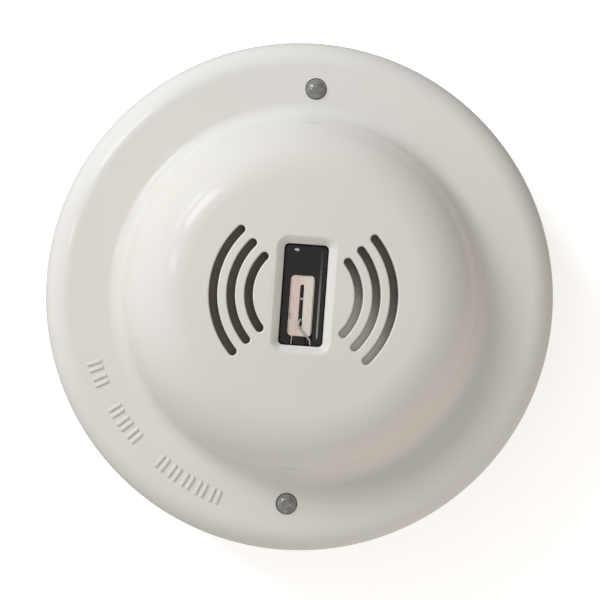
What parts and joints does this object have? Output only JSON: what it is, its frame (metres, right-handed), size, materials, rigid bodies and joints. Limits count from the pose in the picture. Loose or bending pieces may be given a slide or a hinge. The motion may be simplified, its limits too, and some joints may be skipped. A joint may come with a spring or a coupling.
{
  "type": "heat detector",
  "caption": "Round ceiling heat detector: a domed twist-lock head with a thermistor window, arc-shaped air slots and clear status lamps, on a slotted mounting base.",
  "frame": {"origin": "centre of the mounting base's back face, which lies on the ceiling", "axes": "+Z out of the detector's front face, +Y from the centre towards the upper status lamp"},
  "size_m": [0.1, 0.1, 0.0376],
  "materials": {
    "cover_plastic": "gloss",
    "base_plastic": "satin",
    "housing_plastic": "satin",
    "contact_bronze": "satin",
    "zinc_steel": "satin",
    "seal_rubber": "matte",
    "board_laminate": "satin",
    "chip_plastic": "matte",
    "capacitor_can": "satin",
    "varistor_coat": "satin",
    "reed_glass": "gloss",
    "led_body": "gloss",
    "pipe_clear": "gloss",
    "baffle_black": "matte",
    "holder_black": "gloss",
    "pad_ceramic": "matte",
    "bead_glass": "gloss",
    "tinned_wire": "satin"
  },
  "bodies": {
    "base": {"base_plate": "base_plastic", "contact_spring_1": "contact_bronze", "contact_spring_2": "contact_bronze", "contact_spring_3": "contact_bronze", "contact_spring_4": "contact_bronze", "clamp_washers": "zinc_steel", "terminal_screws": "zinc_steel"},
    "lever": {"lock_lever": "base_plastic"},
    "head": {"cover": "cover_plastic", "dust_seal": "seal_rubber", "rear_housing": "housing_plastic", "cover_screws": "zinc_steel", "contact_blade_1": "contact_bronze", "contact_blade_2": "contact_bronze", "contact_blade_3": "contact_bronze", "contact_blade_4": "contact_bronze", "circuit_board": "board_laminate", "board_screws": "zinc_steel", "microcontroller": "chip_plastic", "voltage_regulator": "chip_plastic", "bridge_rectifier": "chip_plastic", "reservoir_capacitor": "capacitor_can", "filter_capacitor": "capacitor_can", "surge_suppressor": "varistor_coat", "reed_switch": "reed_glass", "chip_components": "chip_plastic", "status_led_1": "led_body", "status_led_2": "led_body", "light_pipe_1": "pipe_clear", "light_pipe_2": "pipe_clear", "air_baffle": "baffle_black", "sensor_holder": "holder_black", "sensor_pad": "pad_ceramic", "thermistor": "bead_glass", "thermistor_leads": "tinned_wire"}
  },
  "joints": [
    {"name": "head_twist", "type": "hinge", "parent": "base", "child": "head", "pos_m": [0, 0, 0], "axis": [0, 0, 1], "range_deg": [0, 24]},
    {"name": "lock_lever_swing", "type": "hinge", "parent": "base", "child": "lever", "pos_m": [-0.02103, 0.03956, 0.0053], "axis": [0, 0, 1], "range_deg": [0, 7]}
  ]
}
